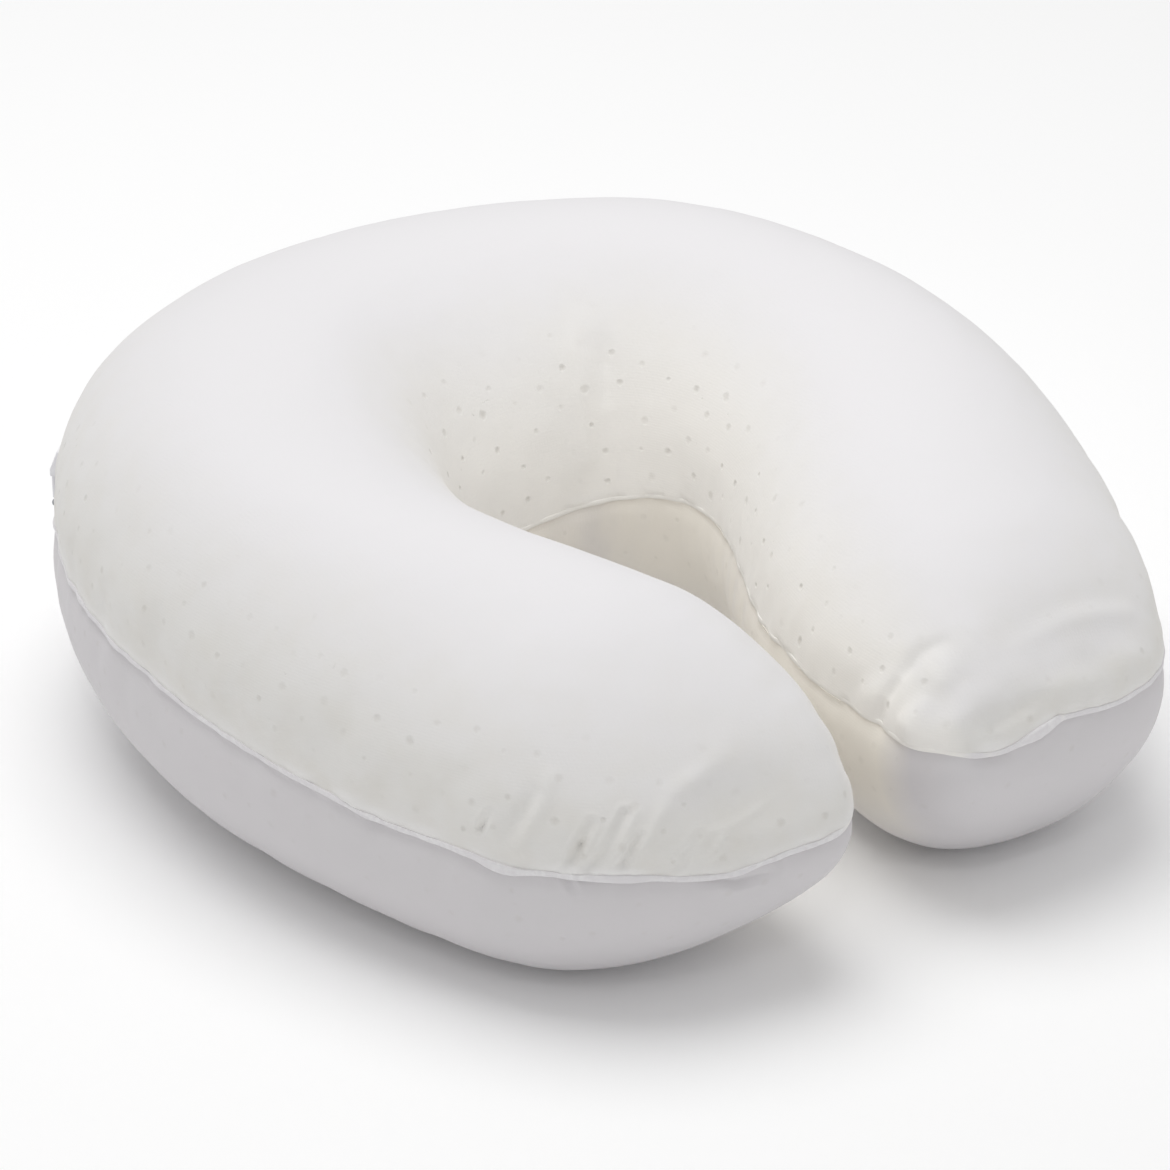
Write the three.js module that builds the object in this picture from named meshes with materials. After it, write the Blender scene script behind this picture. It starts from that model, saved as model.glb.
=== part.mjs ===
// A travel pillow for the neck: one filled horseshoe in a knit cover of two panels. The panels
// are joined by an overlocked seam that runs round the outside, both arm ends and the neck hole.
// It lies on its back. Z is up, the mouth opens towards -Y, and the origin is under the middle
// of the footprint. Sizes are in millimetres.

import * as THREE from 'three';

// Sections across the filling, from the end of the -X arm, round the back, to the end of the
// +X arm. Outer and inner are where the seam lies in plan, and seam its height on the outer
// side, then on the inner. Crown is the height of the top, then its place across, 0 being over
// the inner seam and 1 over the outer one. Wall is how full the upper quarter by the hole is.
const SECTIONS = [
  { at: '-X end', outer: [-89, -149], inner: [-7, -154], seam: [45, 45], crown: [88, 0.42], wall: 2.05 },
  { at: '-X arm', outer: [-121, -84], inner: [-19, -67], seam: [46, 46], crown: [99.5, 0.47], wall: 1.85 },
  { at: '-X side', outer: [-136, 3], inner: [-33, -22], seam: [54, 52], crown: [106, 0.61], wall: 1.9 },
  { at: '-X shoulder', outer: [-100, 108], inner: [-28, 18], seam: [59, 49], crown: [112, 0.49], wall: 2.3 },
  { at: 'back', outer: [0, 154], inner: [0, 31], seam: [61, 45], crown: [110.2, 0.49], wall: 1.9 },
  { at: '+X shoulder', outer: [101, 109], inner: [34, 28], seam: [57, 49], crown: [113, 0.47], wall: 2.05 },
  { at: '+X side', outer: [135, 3], inner: [38, -8], seam: [55, 53], crown: [108, 0.58], wall: 2.05 },
  { at: '+X arm', outer: [118, -83], inner: [12.5, -66], seam: [50, 51], crown: [98, 0.51], wall: 2.05 },
  { at: '+X end', outer: [84, -148], inner: [2, -153], seam: [52, 52], crown: [86, 0.42], wall: 2.05 },
];

// How each arm closes at its end: the length over which it draws in, and how blunt the end is
// in plan, 2 being a true ellipse. The top and the underside come in to the end less bluntly.
const ARM_ENDS = {
  start: { length: 59, bluntness: 3.1, top: 1.8, underside: 1.69 },
  finish: { length: 46, bluntness: 4.2, top: 1.8, underside: 1.7 },
};

// How full each quarter of a section is, 2 being a true ellipse and more being squarer. The
// underside is pressed flat where the quarters would reach below the floor.
const FULLNESS = { upperOuter: 2.08, lowerOuter: 2.35, lowerInner: 2.35 };
const UNDERSIDE_PRESS = 1.05;

// The seam: the panels are drawn in to it and leave a notch, and the sewn edge lies in that.
const SEAM = { gap: 0.32, notchHeight: 3.4, notchDepth: 4.6, drawIn: 1.3, drawInReach: 5 };
const RIDGE = { height: 2.8, depth: 4.8, proud: 0.7, sides: 8 };

// Loose cloth on the arm ends, as soft ridges (rise above 0) and creases (below 0) between two
// points of the surface, width being the distance over which each fades.
const FOLDS = [
  { what: '+X roll of slack cloth', from: [5, -131, 54], to: [17, -136, 70], width: 6, rise: 4 },
  { what: '+X crease behind the roll', from: [2, -122, 52], to: [4, -124, 62], width: 3.5, rise: -2.5 },
  { what: '+X crease above the roll', from: [6, -126, 65], to: [20, -132, 75], width: 3.5, rise: -2 },
  { what: '+X hollow beside the roll', from: [11, -143, 57], to: [24, -149, 54], width: 5.5, rise: -2.6 },
  { what: '+X tuck above the seam', from: [27, -151, 53], to: [41, -151, 58], width: 4, rise: 2 },
  { what: '+X brow', from: [37, -139, 74], to: [74, -136, 71], width: 8, rise: 1.6 },
  { what: '+X flat under the brow', from: [42, -147, 62], to: [68, -144, 61], width: 8, rise: -1.6 },
  { what: '-X flattened patch', from: [-60, -147, 50], to: [-47, -147, 55], width: 11, rise: 1.8 },
  { what: '-X crease beside it', from: [-68, -146, 48], to: [-70, -143, 58], width: 4, rise: -1.8 },
  { what: '-X first pucker', from: [-108, -113, 50], to: [-104, -112, 62], width: 4, rise: -1.6 },
  { what: '-X second pucker', from: [-100, -125, 50], to: [-94, -124, 64], width: 4, rise: -1.6 },
  { what: '-X third pucker', from: [-92, -133, 50], to: [-84, -131, 62], width: 4, rise: -2 },
  { what: '-X fourth pucker', from: [-84, -139, 50], to: [-76, -138, 61], width: 4, rise: -1.8 },
];
const FOLD_FADE = 6;

// The zip's slider and pull, at the back of the -X side. Spot is their place in plan and lift how
// far above the sewn edge the slider's middle is. Foot and top are how far the slider stands out
// there, and hang how far out its pull reaches.
const ZIP = {
  spot: [-99, 112],
  lift: 4.6,
  slider: { wide: 6, tall: 7.6, foot: 3.2, footTall: 2, top: 1.1 },
  pull: { wide: 2.4, tall: 7.5, thick: 1.2, corner: 0.7, hang: 3.2 },
  knob: { radius: 1.1, segments: 14, bands: 10 },
  clearance: 0.3,
  ease: 0.3,
};

// Steps of the surfaces. The arms' are in millimetres. The others are a count, and how much
// closer together the steps are at the tip of an end or beside the seam, 1 being even.
const ARM_STEP = 9;
const STEPS = {
  end: { count: 15, crowding: 2.1 },
  upper: { count: 15, crowding: 1.35 },
  lower: { count: 10, crowding: 1.7 },
};

// Cloth and fittings.
const FINISHES = {
  upperCloth: new THREE.MeshStandardMaterial({ color: 0xece8e0, roughness: 0.92, metalness: 0 }),
  lowerCloth: new THREE.MeshStandardMaterial({ color: 0xe3dfe4, roughness: 0.95, metalness: 0 }),
  seamCloth: new THREE.MeshStandardMaterial({ color: 0xf0eeec, roughness: 0.9, metalness: 0 }),
  zipNylon: new THREE.MeshStandardMaterial({ color: 0xdcdcde, roughness: 0.45, metalness: 0 }),
  knobNylon: new THREE.MeshStandardMaterial({ color: 0x8d9096, roughness: 0.5, metalness: 0 }),
};

// Shares of a length between 0 and 1, both left out.
function crowdedShares({ count, crowding }) {
  return Array.from({ length: count - 1 }, (_, i) => ((i + 1) / count) ** crowding);
}

// A natural cubic through one column of the sections.
function smoothColumn(knots, values) {
  const last = knots.length - 1;
  const bend = new Array(last + 1).fill(0);
  const carry = new Array(last + 1).fill(0);
  for (let i = 1; i < last; i += 1) {
    const before = knots[i] - knots[i - 1];
    const after = knots[i + 1] - knots[i];
    const turn = (values[i + 1] - values[i]) / after - (values[i] - values[i - 1]) / before;
    const pivot = 2 * (before + after) - before * carry[i - 1];
    carry[i] = after / pivot;
    bend[i] = (6 * turn - before * bend[i - 1]) / pivot;
  }
  for (let i = last - 1; i > 0; i -= 1) {
    bend[i] -= carry[i] * bend[i + 1];
  }
  return (at) => {
    let i = 0;
    while (i < last - 1 && at > knots[i + 1]) {
      i += 1;
    }
    const span = knots[i + 1] - knots[i];
    const left = (knots[i + 1] - at) / span;
    const right = (at - knots[i]) / span;
    const straight = left * values[i] + right * values[i + 1];
    const curved = (left ** 3 - left) * bend[i] + (right ** 3 - right) * bend[i + 1];
    return straight + (curved * span * span) / 6;
  };
}

// The sections' columns as smooth curves along the middle line of the horseshoe.
const middles = SECTIONS.map((row) => {
  const outer = new THREE.Vector2(...row.outer);
  return outer.lerp(new THREE.Vector2(...row.inner), 0.5);
});
const knots = [0];
for (let i = 1; i < middles.length; i += 1) {
  knots.push(knots[i - 1] + middles[i].distanceTo(middles[i - 1]));
}
const totalLength = knots[knots.length - 1];
const columns = {
  outerX: smoothColumn(knots, SECTIONS.map((row) => row.outer[0])),
  outerY: smoothColumn(knots, SECTIONS.map((row) => row.outer[1])),
  innerX: smoothColumn(knots, SECTIONS.map((row) => row.inner[0])),
  innerY: smoothColumn(knots, SECTIONS.map((row) => row.inner[1])),
  crown: smoothColumn(knots, SECTIONS.map((row) => row.crown[0])),
  crownAcross: smoothColumn(knots, SECTIONS.map((row) => row.crown[1])),
  wall: smoothColumn(knots, SECTIONS.map((row) => row.wall)),
  outerSeam: smoothColumn(knots, SECTIONS.map((row) => row.seam[0])),
  innerSeam: smoothColumn(knots, SECTIONS.map((row) => row.seam[1])),
};

// Where the stations stand along the middle line, and how far each is drawn in: first through
// the start's closing end, then along the arms and back, then through the finish's end.
function placeStations() {
  const stations = [];
  const closingEnd = (end, fromFinish) => {
    const drawnIn = (share, bluntness) => (1 - (1 - share) ** bluntness) ** (1 / bluntness);
    const list = crowdedShares(STEPS.end).map((share) => ({
      at: fromFinish ? totalLength - share * end.length : share * end.length,
      width: drawnIn(share, end.bluntness),
      top: drawnIn(share, end.top),
      underside: drawnIn(share, end.underside),
    }));
    return fromFinish ? list.reverse() : list;
  };
  stations.push(...closingEnd(ARM_ENDS.start, false));
  const open = totalLength - ARM_ENDS.start.length - ARM_ENDS.finish.length;
  const armSteps = Math.round(open / ARM_STEP);
  for (let step = 0; step <= armSteps; step += 1) {
    const at = ARM_ENDS.start.length + (open * step) / armSteps;
    stations.push({ at, width: 1, top: 1, underside: 1 });
  }
  stations.push(...closingEnd(ARM_ENDS.finish, true));
  return stations;
}

// A station with its seam points in plan, the chord between them, and its heights.
function sectionAt({ at, width, top, underside }) {
  const outer = new THREE.Vector2(columns.outerX(at), columns.outerY(at));
  const inner = new THREE.Vector2(columns.innerX(at), columns.innerY(at));
  const middle = outer.clone().add(inner).divideScalar(2);
  outer.sub(middle).multiplyScalar(width).add(middle);
  inner.sub(middle).multiplyScalar(width).add(middle);
  return {
    outer,
    inner,
    crownAcross: columns.crownAcross(at),
    fullness: { ...FULLNESS, upperInner: columns.wall(at) },
    seam: { outer: columns.outerSeam(at), inner: columns.innerSeam(at) },
    crown: columns.crown(at),
    top,
    underside,
  };
}
const sections = placeStations().map(sectionAt);

// The seam in plan as one closed outline: the outer side, then the inner side backwards. Each
// point knows the way out of the cloth.
function seamOutline() {
  const outline = [
    ...sections.map((section) => ({ point: section.outer, height: section.seam.outer })),
    ...sections.map((section) => ({ point: section.inner, height: section.seam.inner })).reverse(),
  ];
  outline.forEach((spot, i) => {
    const next = outline[(i + 1) % outline.length].point;
    const previous = outline[(i + outline.length - 1) % outline.length].point;
    const along = next.clone().sub(previous).normalize();
    spot.out = new THREE.Vector2(-along.y, along.x);
  });
  return outline;
}
const outline = seamOutline();
sections.forEach((section, i) => {
  section.outward = { outer: outline[i].out, inner: outline[outline.length - 1 - i].out };
});

// One point of a panel's free surface. Turn runs from 0 at the outer seam to PI at the inner
// seam. Level is 1 for the upper panel and -1 for the lower.
function panelPoint(section, turn, level) {
  const outerSide = turn < Math.PI / 2;
  const side = outerSide ? 'outer' : 'inner';
  const fullness = section.fullness[(level > 0 ? 'upper' : 'lower') + (outerSide ? 'Outer' : 'Inner')];
  const middle = level > 0 ? section.crownAcross : 0.5;
  const reach = Math.abs(Math.cos(turn)) ** (2 / fullness);
  const rise = Math.sin(turn) ** (2 / fullness);
  const across = outerSide ? middle + (1 - middle) * reach : middle * (1 - reach);
  const plan = section.inner.clone().lerp(section.outer, across);

  // The height starts from the notch, so that a drawn-in end keeps room for the seam.
  const seamLine = THREE.MathUtils.lerp(section.seam.inner, section.seam.outer, across);
  const notch = SEAM.notchHeight / 2;
  const above = (section.crown - seamLine - notch) * section.top;
  const below = (seamLine - notch) * UNDERSIDE_PRESS * section.underside;
  const lift = (level > 0 ? above : below) * rise;

  // The cloth draws in to the seam, outwards meaning away from the filling.
  const { outer, inner } = section.outward;
  const share = (1 + Math.cos(turn)) / 2;
  const outward = inner.clone().lerp(outer, share);
  outward.normalize();
  outward.multiplyScalar(-SEAM.drawIn * Math.exp(-lift / SEAM.drawInReach));
  plan.add(outward);
  const z = level > 0 ? seamLine + notch + lift : Math.max(0, seamLine - notch - lift);
  return new THREE.Vector3(plan.x, plan.y, z);
}

// A ring of one panel at a section: up the notch's wall and out along its lip, over the free
// surface and back along the other lip and wall. The cut across the filling closes it.
const LIP_POINTS = 3;
function panelRing(section, steps, level) {
  const lipPoints = (side) => {
    const insets = [SEAM.notchDepth, SEAM.notchDepth, SEAM.drawIn];
    const lifts = [SEAM.gap / 2, SEAM.notchHeight / 2, SEAM.notchHeight / 2];
    return insets.map((inset, k) => {
      const plan = section[side].clone().addScaledVector(section.outward[side], -inset);
      return new THREE.Vector3(plan.x, plan.y, section.seam[side] + level * lifts[k]);
    });
  };
  const quarter = crowdedShares(steps).map((share) => (share * Math.PI) / 2);
  const turns = [...quarter, Math.PI / 2, ...quarter.map((turn) => Math.PI - turn).reverse()];
  const free = turns.map((turn) => panelPoint(section, turn, level));
  return [...lipPoints('outer'), ...free, ...lipPoints('inner').reverse()];
}

// How far the folds move a point of the surface.
function foldRise(point) {
  let rise = 0;
  for (const fold of FOLDS) {
    const line = new THREE.Line3(new THREE.Vector3(...fold.from), new THREE.Vector3(...fold.to));
    const nearest = line.closestPointToPoint(point, true, new THREE.Vector3());
    rise += fold.rise * Math.exp(-((nearest.distanceTo(point) / fold.width) ** 2));
  }
  return rise;
}

// Raises and sinks the free surface of the rings along its own normal. Folds fade out beside the
// two lips, which the seam holds.
function foldRings(rings) {
  const shifted = rings.map((ring) => ring.map((point) => point.clone()));
  for (let i = 1; i < rings.length - 1; i += 1) {
    const lips = [rings[i][LIP_POINTS - 1], rings[i][rings[i].length - LIP_POINTS]];
    for (let j = LIP_POINTS; j < rings[i].length - LIP_POINTS; j += 1) {
      const fromLip = Math.min(...lips.map((lip) => lip.distanceTo(rings[i][j])));
      const fade = 1 - Math.exp(-((fromLip / FOLD_FADE) ** 2));
      const along = rings[i + 1][j].clone().sub(rings[i - 1][j]);
      const around = rings[i][j + 1].clone().sub(rings[i][j - 1]);
      const normal = along.cross(around).normalize();
      shifted[i][j].addScaledVector(normal, fade * foldRise(rings[i][j]));
    }
  }
  return shifted;
}

// A closed solid from rings of equal length. Open solids have their two end rings filled by
// strips between opposite points, and endless ones join the last ring to the first.
function ringSolid(rings, endless = false) {
  const size = rings[0].length;
  const positions = rings.flatMap((ring) => ring.flatMap((point) => point.toArray()));
  const faces = [];
  const quad = (a, b, c, d) => faces.push(a, b, c, a, c, d);
  const last = endless ? rings.length : rings.length - 1;
  for (let i = 0; i < last; i += 1) {
    const here = i * size;
    const next = ((i + 1) % rings.length) * size;
    for (let j = 0; j < size; j += 1) {
      const k = (j + 1) % size;
      quad(here + j, here + k, next + k, next + j);
    }
  }
  if (!endless) {
    const end = (rings.length - 1) * size;
    const middle = Math.floor(size / 2) - 1;
    for (let j = 0; j < middle; j += 1) {
      const opposite = size - 1 - j;
      quad(j, opposite, opposite - 1, j + 1);
      quad(end + j, end + j + 1, end + opposite - 1, end + opposite);
    }
    if (size % 2 === 1) {
      faces.push(middle, size - 1 - middle, middle + 1);
      faces.push(end + middle, end + middle + 1, end + size - 1 - middle);
    }
  }
  const geometry = new THREE.BufferGeometry();
  geometry.setAttribute('position', new THREE.Float32BufferAttribute(positions, 3));
  geometry.setIndex(faces);
  if (signedVolume(geometry) < 0) {
    for (let i = 0; i < faces.length; i += 3) {
      [faces[i + 1], faces[i + 2]] = [faces[i + 2], faces[i + 1]];
    }
    geometry.setIndex(faces);
  }
  geometry.computeVertexNormals();
  return geometry;
}

function signedVolume(geometry) {
  const position = geometry.getAttribute('position');
  const index = geometry.getIndex();
  const corners = [new THREE.Vector3(), new THREE.Vector3(), new THREE.Vector3()];
  let volume = 0;
  for (let i = 0; i < index.count; i += 3) {
    corners.forEach((corner, k) => corner.fromBufferAttribute(position, index.getX(i + k)));
    volume += corners[0].dot(corners[1].clone().cross(corners[2])) / 6;
  }
  return volume;
}

function makePanel(name, steps, level, finish) {
  const rings = sections.map((section) => panelRing(section, steps, level));
  const mesh = new THREE.Mesh(ringSolid(foldRings(rings)), finish);
  mesh.name = name;
  return mesh;
}

// The overlocked edge: one endless strip that lies in the notch and stands a little proud.
function makeSeamRidge() {
  const middle = RIDGE.proud - RIDGE.depth / 2;
  const rings = outline.map(({ point, out, height }) => {
    const ring = [];
    for (let side = 0; side < RIDGE.sides; side += 1) {
      const turn = ((side + 0.5) / RIDGE.sides) * 2 * Math.PI;
      const plan = point.clone().addScaledVector(out, middle + (RIDGE.depth / 2) * Math.cos(turn));
      ring.push(new THREE.Vector3(plan.x, plan.y, height + (RIDGE.height / 2) * Math.sin(turn)));
    }
    return ring;
  });
  const mesh = new THREE.Mesh(ringSolid(rings, true), FINISHES.seamCloth);
  mesh.name = 'seam_ridge';
  return mesh;
}

// A plate with rounded corners and eased edges, flat against XY and standing up along Z.
function easedPlate({ wide, tall, thick, corner }) {
  const { ease } = ZIP;
  const x = wide / 2 - ease - corner;
  const y = tall / 2 - ease - corner;
  const quarter = Math.PI / 2;
  const shape = new THREE.Shape();
  shape.moveTo(x, -y - corner);
  shape.absarc(x, -y, corner, -quarter, 0);
  shape.absarc(x, y, corner, 0, quarter);
  shape.absarc(-x, y, corner, quarter, 2 * quarter);
  shape.absarc(-x, -y, corner, 2 * quarter, 3 * quarter);
  const geometry = new THREE.ExtrudeGeometry(shape, {
    depth: thick - 2 * ease,
    bevelEnabled: true,
    bevelSize: ease,
    bevelThickness: ease,
    bevelSegments: 1,
    curveSegments: 3,
  });
  geometry.translate(0, 0, ease);
  return geometry;
}

// The slider's body, thick at its foot and thin at its top, with its back flat against XY.
function sliderBody({ wide, tall, foot, footTall, top }) {
  const { ease } = ZIP;
  const profile = new THREE.Shape();
  profile.moveTo(ease, ease - tall / 2);
  profile.lineTo(foot - ease, ease - tall / 2);
  profile.lineTo(foot - ease, footTall - tall / 2);
  profile.lineTo(top - ease, tall / 2 - ease);
  profile.lineTo(ease, tall / 2 - ease);
  const geometry = new THREE.ExtrudeGeometry(profile, {
    depth: wide - 2 * ease,
    bevelEnabled: true,
    bevelSize: ease,
    bevelThickness: ease,
    bevelSegments: 2,
  });
  geometry.translate(0, 0, ease - wide / 2);
  geometry.rotateY(-Math.PI / 2);
  return geometry;
}

// The place on the seam nearest to a point of the plan, with its height and the way out.
function nearestOnSeam(target) {
  let nearest;
  outline.forEach((spot, i) => {
    const next = outline[(i + 1) % outline.length];
    const span = next.point.clone().sub(spot.point);
    const along = target.clone().sub(spot.point).dot(span) / span.lengthSq();
    const share = THREE.MathUtils.clamp(along, 0, 1);
    const point = spot.point.clone().addScaledVector(span, share);
    const distance = point.distanceTo(target);
    if (!nearest || distance < nearest.distance) {
      const height = THREE.MathUtils.lerp(spot.height, next.height, share);
      nearest = { point, height, distance, out: spot.out.clone().lerp(next.out, share).normalize() };
    }
  });
  return nearest;
}

// The zip's slider sits outside the sewn edge, and its pull hangs down in front of the band.
// Both are built with Z outwards and Y up, then stood against the seam.
function makeZip() {
  const { slider, pull, knob, clearance } = ZIP;
  const spot = nearestOnSeam(new THREE.Vector2(...ZIP.spot));
  const out = new THREE.Vector3(spot.out.x, spot.out.y, 0);
  const up = new THREE.Vector3(0, 0, 1);
  const side = new THREE.Vector3().crossVectors(up, out);

  const zip = new THREE.Group();
  zip.quaternion.setFromRotationMatrix(new THREE.Matrix4().makeBasis(side, up, out));
  zip.position.set(spot.point.x, spot.point.y, spot.height + ZIP.lift);
  zip.position.addScaledVector(out, RIDGE.proud + clearance);

  const sliderMesh = new THREE.Mesh(sliderBody(slider), FINISHES.zipNylon);
  sliderMesh.name = 'zip_slider';
  zip.add(sliderMesh);

  const pullTop = -slider.tall / 2 - clearance;
  const pullMesh = new THREE.Mesh(easedPlate(pull), FINISHES.zipNylon);
  pullMesh.name = 'zip_pull';
  pullMesh.position.set(0, pullTop - pull.tall / 2, pull.hang - pull.thick);
  zip.add(pullMesh);

  const knobTop = pullTop - pull.tall - clearance;
  const ball = new THREE.SphereGeometry(knob.radius, knob.segments, knob.bands);
  const knobMesh = new THREE.Mesh(ball, FINISHES.knobNylon);
  knobMesh.name = 'zip_pull_knob';
  knobMesh.position.set(0, knobTop - knob.radius, pull.hang - pull.thick / 2);
  zip.add(knobMesh);
  return zip;
}

const pillow = new THREE.Group();
pillow.add(makePanel('upper_panel', STEPS.upper, 1, FINISHES.upperCloth));
pillow.add(makePanel('lower_panel', STEPS.lower, -1, FINISHES.lowerCloth));
pillow.add(makeSeamRidge());
pillow.add(makeZip());

// The footprint's middle stands on the origin.
pillow.updateMatrixWorld(true);
const footprint = new THREE.Box3().setFromObject(pillow, true);
const centre = footprint.getCenter(new THREE.Vector3());
pillow.position.set(-centre.x, -centre.y, 0);

export default pillow;
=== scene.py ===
"""A travel pillow for the neck, dressed over its frame: lengths are in metres unless a name or a
comment says millimetres, Z is up and the mouth opens towards -Y."""

import math

import bmesh
import bpy
import numpy as np
from mathutils import Matrix, Vector, noise
from mathutils.bvhtree import BVHTree
from mathutils.kdtree import KDTree


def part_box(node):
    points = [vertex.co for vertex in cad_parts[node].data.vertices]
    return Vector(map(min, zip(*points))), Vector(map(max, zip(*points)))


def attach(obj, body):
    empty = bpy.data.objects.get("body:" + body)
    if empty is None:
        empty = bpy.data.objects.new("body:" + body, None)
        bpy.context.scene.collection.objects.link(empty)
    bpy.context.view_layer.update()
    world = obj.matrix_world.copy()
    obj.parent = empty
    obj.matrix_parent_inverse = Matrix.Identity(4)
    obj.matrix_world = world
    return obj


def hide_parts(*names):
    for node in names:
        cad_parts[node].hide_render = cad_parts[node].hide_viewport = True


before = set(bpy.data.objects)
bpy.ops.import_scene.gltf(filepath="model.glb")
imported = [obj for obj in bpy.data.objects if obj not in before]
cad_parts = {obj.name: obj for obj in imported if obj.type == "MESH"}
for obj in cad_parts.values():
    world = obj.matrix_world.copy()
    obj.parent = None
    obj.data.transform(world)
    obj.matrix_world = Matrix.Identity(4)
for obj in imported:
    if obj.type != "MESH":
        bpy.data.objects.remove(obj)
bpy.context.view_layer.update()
MM = 0.001


# The camera. A long lens looks down at the pillow's left front, at the photograph's angle. It
# stands off one point and looks at another, because the photograph is cropped off centre.
VIEW_AZIMUTH = math.radians(-35.26)
VIEW_ELEVATION = math.radians(26.63)
STAND_OFF = 1.4103
STANDS_OFF_FROM = Vector((0.0004, -0.0161, 0.045))
LOOKS_AT = Vector((-0.0058, -0.0098, 0.0481))
LENS = 161.1
SENSOR = 36

towards_camera = Vector(
    (
        math.sin(VIEW_AZIMUTH) * math.cos(VIEW_ELEVATION),
        -math.cos(VIEW_AZIMUTH) * math.cos(VIEW_ELEVATION),
        math.sin(VIEW_ELEVATION),
    )
)
camera = bpy.data.objects.new("camera", bpy.data.cameras.new("camera"))
camera.data.sensor_width = SENSOR
camera.data.lens = LENS
camera.location = STANDS_OFF_FROM + towards_camera * STAND_OFF
camera.rotation_euler = (LOOKS_AT - camera.location).to_track_quat("-Z", "Y").to_euler()
bpy.context.scene.collection.objects.link(camera)
bpy.context.scene.camera = camera


# The seam's height round the pillow, read from the frame's sewn edge: above it is the upper panel
# and below it the lower one. The sewing wanders by under a millimetre, and sags in a few places
# by the millimetres given.
SEAM_REACH = 9 * MM
SEAM_WANDER = 0.7 * MM
SEAM_WANDER_LENGTH = 26 * MM
SEAM_SAGS = (
    {"sag": "at the first slit", "at": (-103, -118), "reach": 7, "by": 2.2},
    {"sag": "under the flattened patch", "at": (-60, -150), "reach": 17, "by": 3.2},
    {"sag": "beside the bright tuck", "at": (22, -151), "reach": 8, "by": 2.6},
    {"sag": "pulled up past the tuck", "at": (45, -150), "reach": 9, "by": -2.4},
)
PLAN_STEP = 3 * MM
PLAN_MARGIN = 3
OTHER_ARM = 1.0


def points_of(mesh):
    """The mesh's vertices as an array."""
    places = np.empty(len(mesh.vertices) * 3)
    mesh.vertices.foreach_get("co", places)
    return places.reshape(-1, 3)


ridge = np.unique(points_of(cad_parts["seam_ridge"].data).round(5), axis=0)
plan_corner = np.floor(ridge[:, :2].min(axis=0) / PLAN_STEP) * PLAN_STEP - PLAN_MARGIN * PLAN_STEP
plan_size = np.ceil((ridge[:, :2].max(axis=0) - plan_corner) / PLAN_STEP).astype(int) + PLAN_MARGIN + 1
seam_plan = np.empty(plan_size)
for column in range(plan_size[0]):
    x = plan_corner[0] + column * PLAN_STEP
    y = plan_corner[1] + np.arange(plan_size[1]) * PLAN_STEP
    apart = (x - ridge[None, :, 0]) ** 2 + (y[:, None] - ridge[None, :, 1]) ** 2
    apart = np.where((x * ridge[None, :, 0] < 0) & (ridge[None, :, 1] < 0), OTHER_ARM, apart)
    weight = np.exp(-(apart - apart.min(axis=1, keepdims=True)) / (2 * SEAM_REACH**2))
    wander = [noise.noise(Vector((x, each, 0)) / SEAM_WANDER_LENGTH) for each in y]
    seam_plan[column] = (weight @ ridge[:, 2]) / weight.sum(axis=1) + SEAM_WANDER * np.array(wander)
    for row in SEAM_SAGS:
        away = np.hypot(x - row["at"][0] * MM, y - row["at"][1] * MM) / (row["reach"] * MM)
        seam_plan[column] -= row["by"] * MM * np.exp(-(away**2))


def seam_height(places):
    """The height of the seam nearest in plan to each place, on the same arm."""
    at = (places[:, :2] - plan_corner) / PLAN_STEP
    cell = np.clip(np.floor(at).astype(int), 0, plan_size - 2)
    x, y = (at - cell).T
    i, j = cell.T
    near = seam_plan[i, j] * (1 - y) + seam_plan[i, j + 1] * y
    far = seam_plan[i + 1, j] * (1 - y) + seam_plan[i + 1, j + 1] * y
    return near * (1 - x) + far * x


# The filling, a moulded core. It is the two solids of the frame pressed together and made into
# one even skin, which follows them but spans the groove between them. It is drawn in a little
# everywhere, so that the cover can swell back out.
CORE_MESH = 6 * MM
CORE_SMOOTHING = 3
CORE_DRAW_IN = 0.2 * MM
HALVES_PRESSED = 0.8 * MM
JOINED_WITHIN = 0.001 * MM
GROOVE_REACH = (4 * MM, 9 * MM)
GROOVE_SPANNED_BY = 6
SHRUNK_MOST = 6 * MM


def place_points(mesh, places):
    """Moves the mesh's vertices."""
    mesh.vertices.foreach_set("co", np.ascontiguousarray(places).ravel())
    mesh.update()


def normals_of(mesh):
    """The mesh's vertex normals as an array."""
    directions = np.empty(len(mesh.vertices) * 3)
    mesh.vertex_normals.foreach_get("vector", directions)
    return directions.reshape(-1, 3)


def shown(name, mesh):
    """A new object that holds the mesh, at the origin."""
    piece = bpy.data.objects.new(name, mesh)
    bpy.context.scene.collection.objects.link(piece)
    return piece


def with_modifier(piece, kind, **settings):
    """Puts one modifier on the piece, works it into its mesh, and takes it off again."""
    modifier = piece.modifiers.new(kind.lower(), kind)
    for name, value in settings.items():
        setattr(modifier, name, value)
    made = bpy.data.meshes.new_from_object(piece.evaluated_get(bpy.context.evaluated_depsgraph_get()))
    piece.modifiers.clear()
    piece.data = made


core = bmesh.new()
for node, pressed_by in (("lower_panel", 0), ("upper_panel", HALVES_PRESSED)):
    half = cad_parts[node].data.copy()
    half.transform(Matrix.Translation((0, 0, -pressed_by)))
    core.from_mesh(half)
bmesh.ops.remove_doubles(core, verts=core.verts, dist=JOINED_WITHIN)
solids = BVHTree.FromBMesh(core)
cover = shown("cover", bpy.data.meshes.new("cover"))
core.to_mesh(cover.data)
core.free()
with_modifier(cover, "REMESH", mode="VOXEL", voxel_size=CORE_MESH)

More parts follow.
